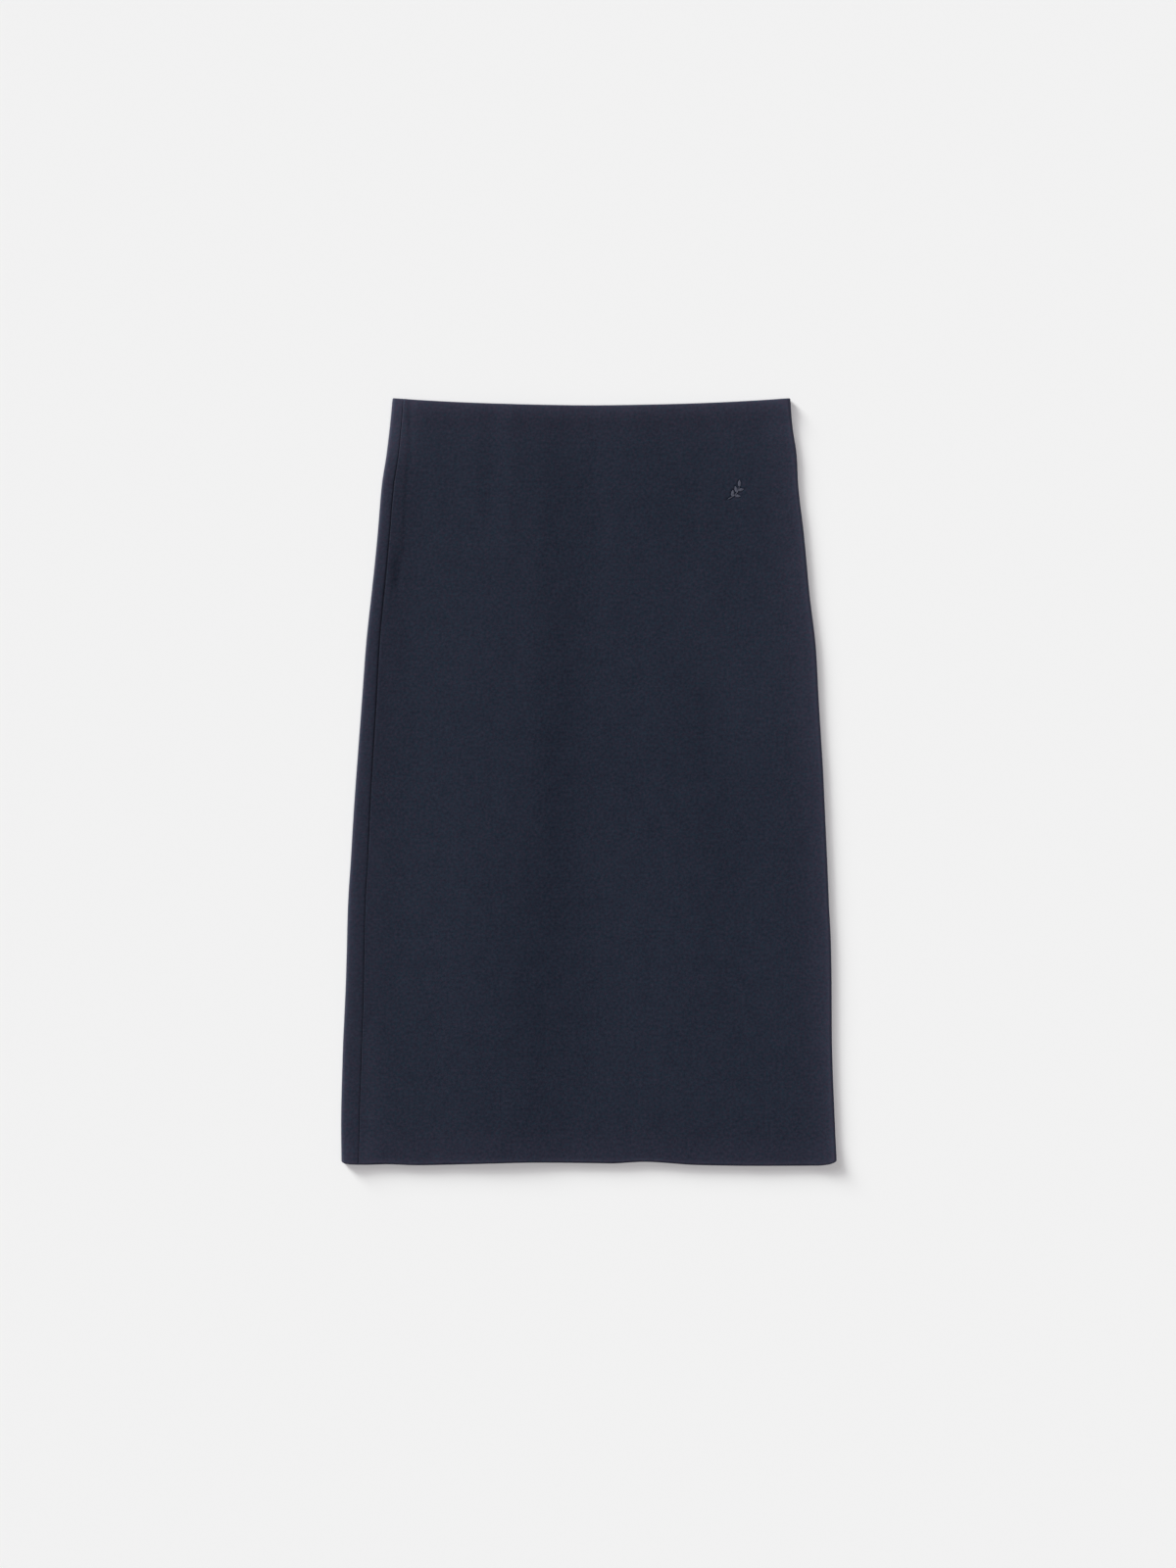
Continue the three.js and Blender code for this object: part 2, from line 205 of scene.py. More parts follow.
# Painted sheen towards each edge, a painted highlight where the fuzz of the folded and turned edges would
# catch the light: how far that reaches in, the share by which it changes the colour at the edge, and how
# much more the very rim shows.
EDGE_SHEEN = [
    {"edge": "left", "reach": 5.5, "share": 0.82, "rim": 0.3},
    {"edge": "right", "reach": 5.3, "share": 1.5, "rim": 2.2},
    {"edge": "hem", "reach": 3.5, "share": 0.6, "rim": 0.8},
    {"edge": "waist", "reach": 8, "share": 0.85, "rim": 0.3},
]
RIM = 1.5  # how far in the painted highlight on the very rim reaches
WAIST_SHEEN = {"share": 0.26, "reach": 24}  # the wider, fainter painted light below the waist
LEFT_EDGE_SHEEN = {"share": 0.35, "from": 200, "over": 100}  # more painted sheen on the left edge, above this level
WARM_REACH = 48  # how far in from each edge the painted sheen's warmer cast reaches
SIDE_WARMTH = 0.8  # how much of that warmth the sides have

# Painted shade and painted light beside the seams, the allowance and the sprig: painted shade in the
# seams, by a share of the square of their groove; on the front, a line of painted shade along the edge of
# the allowance, and a band of painted light beyond it near the waist; and painted shade round the sprig's
# stitches.
SEAM_SHADE = {"share": 0.22, "spread": 0.9}
ALLOWANCE_SHADE_LINE = {"share": -0.08, "spread": 1.4}
ALLOWANCE_LIGHT_BAND = {"share": 0.1, "beyond": 5, "spread": 3, "from": 300, "over": 40}
SPRIG_SHADE = {"share": -0.6, "spread": 0.9}
SPRIG_DENT = {"depth": 0.45, "middle": 0.3, "spread": 0.8}  # the knit, pulled down round them
PUCKER_REACH = 2.6  # how far from a seam its stitches pucker the knit

HALF_LENGTH = LENGTH / 2


# ---- Curves ----
def read(rows, key, column, at):
    """The smooth curve through one column of a table, which never overshoots a row."""
    places = np.array([row[key] for row in rows], float)
    values = np.array([row[column] for row in rows], float)
    slopes = np.diff(values) / np.diff(places)
    before = np.r_[slopes[0], slopes]
    after = np.r_[slopes, slopes[-1]]
    same_way = before * after > 0
    tangents = np.where(same_way, 2 * before * after / np.where(same_way, before + after, 1), 0)
    at = np.clip(at, places[0], places[-1])
    i = np.clip(np.searchsorted(places, at, side="right") - 1, 0, len(rows) - 2)
    span = places[i + 1] - places[i]
    t = (at - places[i]) / span
    bend = (1 - t) * (tangents[i] - slopes[i]) - t * (tangents[i + 1] - slopes[i])
    return values[i] + (values[i + 1] - values[i]) * t + t * (1 - t) * span * bend


def soften(t):
    """From 0 to 1 with a level start and end."""
    t = np.clip(t, 0, 1)
    return t * t * (3 - 2 * t)


def bell(t):
    return np.exp(-t * t)


def left(level):
    return read(OUTLINE, "y", "left", level)


def right(level):
    return read(OUTLINE, "y", "right", level)


def seam(level):
    return read(OUTLINE, "y", "seam", level)


def groove(level):
    return read(OUTLINE, "y", "groove", level)


def wall(level):
    """The knit's thickness, doubled up softly towards the waist and hem."""
    from_end = HALF_LENGTH - np.abs(level)
    return TURNED_WALL + (WALL - TURNED_WALL) * soften(from_end / TURNING)


def rise(folds, x, level):
    """How far a table's folds lift the cloth at a point, or how far its painted light and shade change
    the colour.
    """
    total = np.zeros(np.broadcast(x, level).shape)
    for fold in folds:
        (top_x, top_y), (foot_x, foot_y) = fold["top"], fold["foot"]
        down = np.clip((top_y - level) / (top_y - foot_y), 0, 1)
        past = level - (top_y + (foot_y - top_y) * down)
        aside = x - (top_x + (foot_x - top_x) * down)
        total += fold["rise"] * bell(aside / fold["spread"]) * bell(past / (2 * fold["spread"]))
    return total


WANDER = 0.5  # how far the ripples turn from running straight down the skirt, in radians


def unevenness(seed, count, shortest, longest, height):
    """A function of a point: gentle waves of the cloth that no fold accounts for."""
    rng = np.random.default_rng(seed)
    lengths = rng.uniform(shortest, longest, count)
    headings = rng.normal(0, WANDER, count)
    starts = rng.uniform(0, 2 * math.pi, count)

    def at(x, y):
        total = np.zeros(np.broadcast(x, y).shape)
        for length, heading, start in zip(lengths, headings, starts):
            along = x * math.cos(heading) + y * math.sin(heading)
            total += np.sin(2 * math.pi * along / length + start)
        return height * total / math.sqrt(count)

    return at


TOP_WAVES = unevenness(seed=4, count=12, shortest=26, longest=110, height=0.08)
SIDE_WAVES = unevenness(seed=9, count=8, shortest=30, longest=120, height=0.18)
SEAM_WAVES = unevenness(seed=12, count=9, shortest=9, longest=60, height=0.14)
HEM_WAVES = unevenness(seed=21, count=7, shortest=16, longest=80, height=0.22)


def near_waist(level):
    """From 0 to 1 up the part of the skirt where the seam allowance shows through."""
    return soften((level - SHOWS_FROM) / SHOWS_OVER)


def allowance(level):
    """How far the seam allowance reaches from the seam under the front."""
    up = np.clip((level - PULL_FROM) / PULL_OVER, 0, 1)
    return ALLOWANCE - ALLOWANCE_PULL * up * up


def shift(x, level):
    """How far a point lies off its level, where the hem waves and the waist dips."""
    across = np.clip((x - left(level)) / (right(level) - left(level)), 0, 1)
    upwards = (level + HALF_LENGTH) / LENGTH
    dip = WAIST_DIP * (1 - (2 * across - 1) ** 2)
    return read(HEM, "across", "lift", across) * (1 - upwards) - dip * upwards


# ---- The sprig's outline ----
def stem_point(along):
    """A point of the stem, from its foot, 0, to its tip, 1, and the way it heads there."""
    foot, pull, tip = np.array(STEM, float)
    along = np.asarray(along, float)[..., None]
    point = (1 - along) ** 2 * foot + 2 * along * (1 - along) * pull + along**2 * tip
    heading = 2 * (1 - along) * (pull - foot) + 2 * along * (tip - pull)
    return point + np.array([SPRIG["x"], SPRIG["y"]]), heading


def leaf_places():
    """Each leaf's foot, the unit vector along it and its length."""
    for leaf in LEAVES:
        foot, heading = stem_point(leaf["along"])
        turn = math.atan2(heading[1], heading[0]) + math.radians(leaf["turn"])
        yield foot, np.array([math.cos(turn), math.sin(turn)]), leaf["length"]


def leaf_half(along, length):
    """A leaf's half width so far along it."""
    bow = SPRIG["leaf_bow"]
    share = np.clip(along / length, 0, 1)
    turn = (np.sqrt(bow**2 + (1 - 2 * bow) * share) - bow) / (1 - 2 * bow)
    return 2 * SPRIG["leaf_fullness"] * turn * (1 - turn)


def from_sprig(x, y):
    """How far a point lies outside the sprig's stitching."""
    nearest = np.full(np.broadcast(x, y).shape, np.inf)
    for (foot_x, foot_y), (way_x, way_y), length in leaf_places():
        along = (x - foot_x) * way_x + (y - foot_y) * way_y
        aside = np.abs((y - foot_y) * way_x - (x - foot_x) * way_y)
        beside = np.clip(along, 0, length)
        out = np.maximum(aside - leaf_half(beside, length), 0)
        nearest = np.minimum(nearest, np.hypot(along - beside, out))
    for along in np.linspace(0, 1, num=12):
        (stem_x, stem_y), _ = stem_point(along)
        nearest = np.minimum(nearest, np.hypot(x - stem_x, y - stem_y) - STEM_HALF_WIDTH)
    return np.maximum(nearest, 0)


# ---- The lie of the cloth ----
def top_height(x, level):
    """How high the outside of the upper layer lies."""
    from_side = np.minimum(x - left(level), right(level) - x)
    air = AIR + FOLD_AIR * bell((from_side - 2 * FOLD_REACH) / FOLD_AIR_SPREAD)
    air = air + rise(FOLDS, x, level) + TOP_WAVES(x, level)
    past_seam = x - left(level) - seam(level)
    past_allowance = past_seam - allowance(level)
    past_step = (past_allowance + ALLOWANCE_EDGE) / (2 * ALLOWANCE_EDGE)
    on_allowance = soften(past_seam / SEAM_EDGE) * (1 - soften(past_step))
    air = air + ALLOWANCE_STEP * on_allowance * near_waist(level)
    off_sprig = from_sprig(x, level + shift(x, level)) - SPRIG_DENT["middle"]
    air = air - SPRIG_DENT["depth"] * bell(off_sprig / SPRIG_DENT["spread"])
    air = LEAST_AIR + AIR_SOFTNESS * np.logaddexp(0, (air - LEAST_AIR) / AIR_SOFTNESS)
    return 2 * wall(level) + air


def under_height(x, level):
    """How high the outside of the lower layer lies."""
    from_side = np.minimum(x - left(level), right(level) - x)
    from_end = HALF_LENGTH - np.abs(level)
    in_from_side = soften((from_side - UNDER_MARGIN) / UNDER_SIDE_RUN)
    in_from_end = soften((from_end - UNDER_MARGIN) / UNDER_END_RUN)
    return in_from_side * in_from_end * rise(HOLLOWS, x, level)


def drawn_in(x, level, upper):
    """How far the upper layer's ends lie inside the lower one's."""
    hem = (HEM_PEEK + HEM_WAVES(x, 0)) * (1 - soften((level + HALF_LENGTH) / PEEK_RUN))
    waist = WAIST_PEEK * (1 - soften((HALF_LENGTH - level) / PEEK_RUN))
    return upper * (hem - waist)


# ---- Panels ----
# Each column holds the outside and inside of the knit at every level: x and z of each, and how
# far the column belongs to the upper layer, from 0 to 1.
def top_column(x, level, dip=0.0):
    x = x + 0 * level
    height = top_height(x, level)
    return x, height - dip, x, height - wall(level), np.ones(len(level))


def under_column(x, level, dip=0.0):
    x = x + 0 * level
    height = under_height(x, level)
    return x, height + dip, x, height + wall(level), np.zeros(len(level))


def fold_column(side, turn, level):
    """A column of a side fold, at a turn from a quarter circle, on top, to minus that."""
    edge = right(level) if side > 0 else left(level)
    x = edge - side * FOLD_REACH
    middle = top_height(x, level) / 2
    inner = wall(level)
    return (
        x + side * FOLD_REACH * math.cos(turn),
        middle + middle * math.sin(turn),
        x + side * (FOLD_REACH - inner) * math.cos(turn),
        middle + (middle - inner) * math.sin(turn),
        (1 + math.sin(turn)) / 2 + 0 * level,
    )


def groove_depth(level):
    """How deep the knit turns in at the seams, with its small unevenness."""
    return np.maximum(groove(level) + SEAM_WAVES(0, level), LEAST_GROOVE)


def seam_columns(column, centre, side, level, steps=6):
    """The rounded lip of a seam, from its bottom out: side is the way that the cloth runs."""
    depth = groove_depth(level)
    made = []
    for i in range(steps):
        turn = math.pi / 2 * i / steps
        x = centre + side * (SEAM_GAP / 2 + depth * (1 - math.cos(turn)))
        made.append(column(x, level, depth * (1 - math.sin(turn))))
    return made


def run(column, start, end, level, steps):
    """Columns from one place across to another, the last left out."""
    return [column(start + (end - start) * i / steps, level) for i in range(steps)]


def fold_columns(side, level, steps=16):
    """The columns round a side fold: side is 1 for the right one, and -1 for the left one."""
    turns = [math.pi * (0.5 - i / steps) for i in range(steps)]
    return [fold_column(side, side * turn, level) for turn in turns]


# How many rows each stretch has, how they crowd towards the turned edges, and the least step.
ROWS = {"turned": 13, "crowding": 1.6, "even": 150, "sprig": 31, "least_step": 0.5}
SPRIG_LEVEL = SPRIG["y"] + 3  # the waist's dip draws the sprig down from it


def row_levels():
    """The levels of the rows: close together at the turned edges and the sprig, and then even."""
    crowded = np.linspace(0, 1, ROWS["turned"]) ** ROWS["crowding"]
    near = EDGE_ROUND + (TURNING - EDGE_ROUND) * crowded
    even = np.linspace(TURNING - HALF_LENGTH, HALF_LENGTH - TURNING, ROWS["even"])
    beside_sprig = SPRIG_LEVEL + np.linspace(-SPRIG_REACH, SPRIG_REACH, ROWS["sprig"])
    below = even < beside_sprig[0] - ROWS["least_step"]
    above = even > beside_sprig[-1] + ROWS["least_step"]
    away = below | above
    even = np.sort(np.r_[even[1:-1][away[1:-1]], beside_sprig])
    return np.r_[near - HALF_LENGTH, even, (HALF_LENGTH - near)[::-1]]


BESIDE_SEAM = 26  # how far past the left seam the columns stand closer together
BESIDE_FOLD = 30  # and before the right fold


def front_columns(level):
    """Across the top from the left seam, round the right side and under to the right seam."""
    left_seam = left(level) + seam(level)
    right_seam = right(level) - seam(level)
    lip = SEAM_GAP / 2 + groove_depth(level)
    in_left = left_seam + BESIDE_SEAM
    in_right = right(level) - BESIDE_FOLD
    fold = right(level) - FOLD_REACH
    sprig_start = SPRIG["x"] - SPRIG_REACH
    sprig_end = SPRIG["x"] + SPRIG_REACH
    return [
        *seam_columns(top_column, left_seam, 1, level),
        *run(top_column, left_seam + lip, in_left, level, steps=18),
        *run(top_column, in_left, sprig_start, level, steps=74),
        *run(top_column, sprig_start, sprig_end, level, steps=30),
        *run(top_column, sprig_end, in_right, level, steps=8),
        *run(top_column, in_right, fold, level, steps=14),
        *fold_columns(1, level),
        *run(under_column, fold, right_seam + lip, level, steps=6),
        *reversed(seam_columns(under_column, right_seam, 1, level)),
    ]


def back_columns(level):
    """Across underneath from the right seam, round the left side and over to the left seam."""
    left_seam = left(level) + seam(level)
    right_seam = right(level) - seam(level)
    lip = SEAM_GAP / 2 + groove_depth(level)
    fold = left(level) + FOLD_REACH
    return [
        *seam_columns(under_column, right_seam, -1, level),
        *run(under_column, right_seam - lip, fold, level, steps=104),
        *fold_columns(-1, level),
        *run(top_column, fold, left_seam - lip, level, steps=7),
        *reversed(seam_columns(top_column, left_seam, -1, level)),
    ]


def painted_shade_and_light(x, level, upper):
    """The share by which painted shade and painted light change the colour: along the folds, in the
    seams, at the edge of the allowance and round the sprig.
    """
    from_left_seam = x - left(level) - seam(level)
    from_right_seam = x - right(level) + seam(level)
    past_allowance = from_left_seam - allowance(level)
    off_sprig = from_sprig(x, level + shift(x, level))
    # painted shade in the seams' grooves, along the allowance's edge and round the sprig, and painted
    # light in a band near the waist
    seam_shade = SEAM_SHADE["share"] * groove(level) ** 2
    line = ALLOWANCE_SHADE_LINE
    band = ALLOWANCE_LIGHT_BAND
    in_band = bell((past_allowance - band["beyond"]) / band["spread"])
    top = rise(PAINTED_SHADE_AND_LIGHT, x, level) - seam_shade * bell(from_left_seam / SEAM_SHADE["spread"])
    top = top + line["share"] * bell(past_allowance / line["spread"]) * near_waist(level)
    top = top + band["share"] * in_band * soften((level - band["from"]) / band["over"])
    top = top + SPRIG_SHADE["share"] * bell(off_sprig / SPRIG_SHADE["spread"])
    under = rise(PAINTED_SHADE_UNDERNEATH, x, level) - seam_shade * bell(from_right_seam / SEAM_SHADE["spread"])
    return under + (top - under) * np.round(upper)


def painted_edge_sheen(x, level):
    """The share by which painted sheen makes the colour paler towards the folded and turned edges."""
    inwards = {
        "left": x - left(level),
        "right": right(level) - x,
        "hem": level + HALF_LENGTH + 0 * x,
        "waist": HALF_LENGTH - level + 0 * x,
    }
    total = WAIST_SHEEN["share"] * np.exp(-inwards["waist"] / WAIST_SHEEN["reach"])
    more = LEFT_EDGE_SHEEN["share"] * soften((level - LEFT_EDGE_SHEEN["from"]) / LEFT_EDGE_SHEEN["over"])
    for row in EDGE_SHEEN:
        distance = np.clip(inwards[row["edge"]], 0, None)
        share = row["share"] + (more if row["edge"] == "left" else 0)
        total = total + share * np.exp(-distance / row["reach"])
        total = total + row["rim"] * np.exp(-distance / RIM)
    return total


def painted_sheen_warmth(x, level):
    """How far the painted sheen's warmer cast reaches, from 0 to 1, towards the folded and turned edges.
    """
    from_side = np.minimum(x - left(level), right(level) - x)
    from_end = HALF_LENGTH - np.abs(level)
    at_side = SIDE_WARMTH * (1 - soften(from_side / WARM_REACH))
    return np.maximum(at_side, 1 - soften(from_end / WARM_REACH))


def pulled(x, level, upper):
    """How strongly the seam's stitches pucker the knit, from 0 to 1."""
    seam_place = np.where(upper > 0.5, left(level) + seam(level), right(level) - seam(level))
    return bell((x - seam_place) / PUCKER_REACH)


TIP_TURNS = 5  # steps round each half of the rounded edges


def panel(name, columns_at):
    """One panel's closed wall, with a UV map in metres: along the courses, and up the wales."""
    level = row_levels()
    columns = np.array([np.array(column) for column in columns_at(level)])
    outer_x, outer_z, inner_x, inner_z, upper = np.moveaxis(columns, 1, 0)

    def laid(x, z):
        """One side of the wall, with the waves of the hem, the waist and the sides."""
        y = level + shift(x, level) + drawn_in(outer_x, level, upper)
        return np.stack([x + SIDE_WAVES(0, y), y, z], axis=-1)

    outer = laid(outer_x, outer_z)
    inner = laid(inner_x, inner_z)
    steps = np.linalg.norm(np.diff(outer[..., [0, 2]], axis=0), axis=-1)
    along = np.concatenate([np.zeros((1, len(level))), np.cumsum(steps, axis=0)])
    rows = len(level)

    def tip(row, way):
        """The rounded edge beyond a row, from the outside to the inside."""
        reach = EDGE_ROUND * way
        made = []
        for i in range(1, 2 * TIP_TURNS):
            turn = math.pi * (0.5 - i / (2 * TIP_TURNS))
            share = (1 + math.sin(turn)) / 2
            point = inner[:, row] + (outer[:, row] - inner[:, row]) * share
            made.append(point + np.array([0, reach * math.cos(turn), 0]))
        return made

    def all_round(values):
        """A value of each row, carried round the tips and the inside."""
        waist_tip = [values[:, -1:]] * (2 * TIP_TURNS - 1)
        hem_tip = [values[:, :1]] * (2 * TIP_TURNS - 1)
        return np.concatenate([values, *waist_tip, values[:, ::-1], *hem_tip], axis=1)

    ring = [outer[:, i] for i in range(rows)]
    ring += tip(rows - 1, 1)
    ring += [inner[:, i] for i in reversed(range(rows))]
    ring += reversed(tip(0, -1))
    made = closed_mesh(name, np.stack(ring, axis=1), all_round(along), rows)
    # each point carries its painted light and shade, its painted edge sheen and that sheen's warmer cast,
    # and the pucker of the seams
    for attribute, values in (
        ("painted_shade_and_light", painted_shade_and_light(outer_x, level, upper)),
        ("painted_edge_sheen", painted_edge_sheen(outer_x, level)),
        ("painted_sheen_warmth", painted_sheen_warmth(outer_x, level)),
        ("pulled", pulled(outer_x, level, upper)),
    ):
        layer = made.data.attributes.new(attribute, "FLOAT", "POINT")
        layer.data.foreach_set("value", all_round(values).ravel())
    return made


def closed_mesh(name, ring, u, rows):
    """The mesh through rings of points, one for each column, closed at both ends."""
    count, around, _ = ring.shape
    tip_size = (around - 2 * rows) // 2
    index = np.arange(count * around).reshape(count, around)
    following = np.roll(index, -1, axis=1)
    quads = np.stack([index[:-1], index[1:], following[1:], following[:-1]], axis=-1)
    faces = quads.reshape(-1, 4).tolist()
    for end, flip in ((0, False), (count - 1, True)):
        loop = index[end].tolist()
        pairs = [(loop[i], loop[2 * rows + tip_size - 1 - i]) for i in range(rows)]
        for (a, d), (b, c) in zip(pairs, pairs[1:]):
            faces.append([a, d, c, b] if flip else [a, b, c, d])
        waist = loop[rows - 1:rows + tip_size + 1]
        hem = loop[2 * rows + tip_size - 1:] + loop[:1]
        for edge in (waist, hem):
            faces.append(edge[::-1] if flip else edge)
    mesh = bpy.data.meshes.new(name)
    mesh.from_pydata((ring.reshape(-1, 3) * MM).tolist(), [], faces)
    mesh.update()
    corners = np.empty(len(mesh.loops), int)
    mesh.loops.foreach_get("vertex_index", corners)
    flat = np.stack([u.ravel(), ring[..., 1].ravel()], axis=-1) * MM
    uv = mesh.uv_layers.new(name="cloth")
    uv.data.foreach_set("uv", flat[corners].ravel())
    mesh.polygons.foreach_set("use_smooth", [True] * len(mesh.polygons))
    return place(name, mesh)


def place(name, mesh):
    made = bpy.data.objects.new(name, mesh)
    bpy.context.scene.collection.objects.link(made)
    return made


# ---- Node graphs ----
class Value:
    """A number inside a node graph. Arithmetic on it adds Math nodes."""

    def __init__(self, graph, socket):
        self.graph = graph
        self.socket = socket

    def math(self, operation, *values):
        return self.graph.add("ShaderNodeMath", {"operation": operation}, dict(enumerate(values)))

    def __add__(self, other):
        return self.math("ADD", self, other)

    __radd__ = __add__

    def __sub__(self, other):
        return self.math("SUBTRACT", self, other)

    def __rsub__(self, other):
        return self.math("SUBTRACT", other, self)

    def __mul__(self, other):
        return self.math("MULTIPLY", self, other)

    __rmul__ = __mul__

    def sine(self):
        return self.math("SINE", self)


class Graph:
    """A node tree under construction."""

    def __init__(self, tree):
        self.tree = tree

    def add(self, kind, settings=None, inputs=None, output=0):
        """A node of a kind: its settings come first, and then its sockets' values or links."""
        node = self.tree.nodes.new(kind)
        for key, value in (settings or {}).items():
            setattr(node, key, value)
        for key, value in (inputs or {}).items():
            if isinstance(value, Value):
                self.tree.links.new(value.socket, node.inputs[key])
            else:
                node.inputs[key].default_value = value
        return Value(self, node.outputs[output])


class Shader(Graph):
    """A material under construction, around its Principled BSDF."""

    def __init__(self, name, **sizes):
        self.material = bpy.data.materials.new(name)
        self.material.use_nodes = True
        super().__init__(self.material.node_tree)
        self.surface = next(n for n in self.tree.nodes if n.type == "BSDF_PRINCIPLED")
        for socket, value in sizes.items():
            self.surface.inputs[socket.replace("_", " ")].default_value = value

    def noise(self, where, scale, detail=2, stretch=(1, 1, 1)):
        """Noise from 0 to 1 with so many features to a metre."""
        scaled = self.add("ShaderNodeMapping", {}, {"Vector": where, "Scale": stretch})
        return self.add(
            "ShaderNodeTexNoise", {}, {"Vector": scaled, "Scale": scale, "Detail": detail}
        )

    def attribute(self, name):
        """A number that the mesh carries at each of its points."""
        return self.add("ShaderNodeAttribute", {"attribute_name": name}, {}, output=2)

    def blend(self, share, low, high):
        """A colour from low to high."""
        return self.add(
            "ShaderNodeMix",
            {"data_type": "RGBA", "clamp_factor": True},
            {"Factor": share, 6: (*low, 1), 7: (*high, 1)},
            output=2,
        )

    def tint(self, colour, share, one, other):
        """A colour multiplied by another, which goes from one to the other."""
        return self.add(
            "ShaderNodeMix",
            {"data_type": "RGBA", "blend_type": "MULTIPLY"},
            {"Factor": 1.0, 6: colour, 7: self.blend(share, one, other)},
            output=2,
        )

    def raise_by(self, relief, distance, strength):
        """Turns the surface's normals as a relief of such a height would."""
        bump = self.add(
            "ShaderNodeBump", {}, {"Strength": strength, "Distance": distance, "Height": relief}
        )
        self.drive("Normal", bump)

    def drive(self, socket, value):
        self.tree.links.new(value.socket, self.surface.inputs[socket])


# ---- Finishes ----
WALE = 0.95  # width of one rib of stitches
COURSE = 0.75  # height of one stitch
LEAN = 0.8  # how far a stitch's two legs slant, in courses from its middle to its side
LEG_WAVE = 0.3  # how much those legs rise and fall along their length
SEAM_STITCH = 2.6  # from one stitch of a side seam to the next
PUCKER = 0.9  # the pucker beside the seams, against the height of a stitch
RELIEF = 0.16  # the knit's
THREAD_RELIEF = 0.05

# A thread's strands and fibres: how far apart the strands' turns are, how many fibres there are
# to a metre, and what each gives to its relief and its colour.
STRANDS = {"turn": 0.55, "relief": 0.5, "colour": 0.2}
FIBRES = {"scale": 5200, "relief": 0.6, "colour": 1.2}

# What makes the knit uneven: features to a metre, how fine their detail goes, how they are
# stretched, and their shares in the colour and in the relief.
EVEN = (1, 1, 1)
YARN = [
    {"name": "yarn", "scale": 1500, "detail": 2, "stretch": EVEN, "colour": 0.4, "relief": 0.9},
    {"name": "fleck", "scale": 700, "detail": 3, "stretch": EVEN, "colour": 0.6, "relief": 0.5},
    {"name": "heather", "scale": 360, "detail": 3, "stretch": EVEN, "colour": 1.45, "relief": 0},
    {"name": "course", "scale": 420, "detail": 2, "stretch": (0.12, 1, 1), "colour": 0.2, "relief": 0},
    {"name": "mottle", "scale": 70, "detail": 2, "stretch": (1, 0.8, 1), "colour": 0.38, "relief": 0},
    {"name": "drift", "scale": 14, "detail": 2, "stretch": (1, 0.45, 1), "colour": 0.15, "relief": 0},
]
YARN_MIDDLE = 1.58  # what their shares in the colour come to on average
DARKEST = -0.7  # the change, as a share of the colour, at which the yarn with its painted light, shade and sheen is at its darkest
PALEST = 1.5  # and its palest

# The dye's two casts, as multiples of its colour, and the noise that goes from one to the other.
TEAL = (0.7, 1.06, 1.02)
PLUM = (1.3, 0.94, 0.98)
DYE = [{"scale": 460, "share": 2.6}, {"scale": 210, "share": 1.2}]
DYE_MIDDLE = 1.41  # taken off, so that the dye lies half way between them on average
SHEEN_WARMTH = 0.23  # how far towards plum the painted sheen at the edges takes it


def knit(name, low, high):
    """Fine double knit: small ribs of stitches, flecked yarn and a short matt fuzz."""
    shader = Shader(
        name,
        Roughness=0.92,
        Specular_IOR_Level=0.16,
        Sheen_Weight=0.14,
        Sheen_Roughness=0.45,
        Sheen_Tint=(0.68, 0.73, 1.0, 1),
    )
    cloth = shader.add("ShaderNodeUVMap", {"uv_map": "cloth"})
    across = shader.add("ShaderNodeSeparateXYZ", {}, {"Vector": cloth})
    upward = Value(shader, across.socket.node.outputs["Y"])
    from_middle = shader.add(
        "ShaderNodeMath", {"operation": "PINGPONG"}, {0: across * (2 / (WALE * MM)), 1: 1.0}
    )
    leg = (from_middle * math.pi).sine()
    lean = ((upward * (1 / (COURSE * MM)) - LEAN * from_middle) * (2 * math.pi)).sine()
    pucker = (upward * (2 * math.pi / (SEAM_STITCH * MM))).sine() * shader.attribute("pulled")
    relief = leg * (1 - LEG_WAVE + LEG_WAVE * lean) + PUCKER * pucker
    # the painted light and shade and the painted edge sheen, added to the yarn's own unevenness
    change = shader.attribute("painted_shade_and_light") + shader.attribute("painted_edge_sheen") - YARN_MIDDLE
    for row in YARN:
        noise = shader.noise(cloth, row["scale"], row["detail"], row["stretch"])
        change = change + row["colour"] * noise
        if row["relief"]:
            relief = relief + row["relief"] * noise
    shader.raise_by(relief, RELIEF * MM, strength=0.5)
    share = (change - DARKEST) * (1 / (PALEST - DARKEST))
    # the painted sheen's warmer cast towards the edges, on top of the dye's own random casts
    dye = SHEEN_WARMTH * shader.attribute("painted_sheen_warmth") - DYE_MIDDLE
    for row in DYE:
        dye = dye + row["share"] * shader.noise(cloth, row["scale"])
    shader.drive("Base Color", shader.tint(shader.blend(share, low, high), dye, TEAL, PLUM))
    return shader.material


def thread(name, low, high, gleam):
    """Thread of two strands, whose twist runs along the line of each stitch."""
    shader = Shader(
        name,
        Roughness=0.55,
        Specular_IOR_Level=gleam,
        Sheen_Weight=0.2,
        Sheen_Roughness=0.4,
        Sheen_Tint=(0.75, 0.78, 1.0, 1),
    )
    along = shader.attribute("along")
    around = shader.attribute("around")
    strand = ((along * (1 / (STRANDS["turn"] * MM)) + around) * (2 * math.pi)).sine()
    where = shader.add("ShaderNodeTexCoord", {}, {}, output=3)
    fibre = shader.noise(where, FIBRES["scale"])
    relief = STRANDS["relief"] * strand + FIBRES["relief"] * fibre
    shader.raise_by(relief, THREAD_RELIEF * MM, strength=0.6)
    share = 0.5 + STRANDS["colour"] * strand + FIBRES["colour"] * (fibre - 0.5)
    shader.drive("Base Color", shader.blend(share, low, high))
    return shader.material


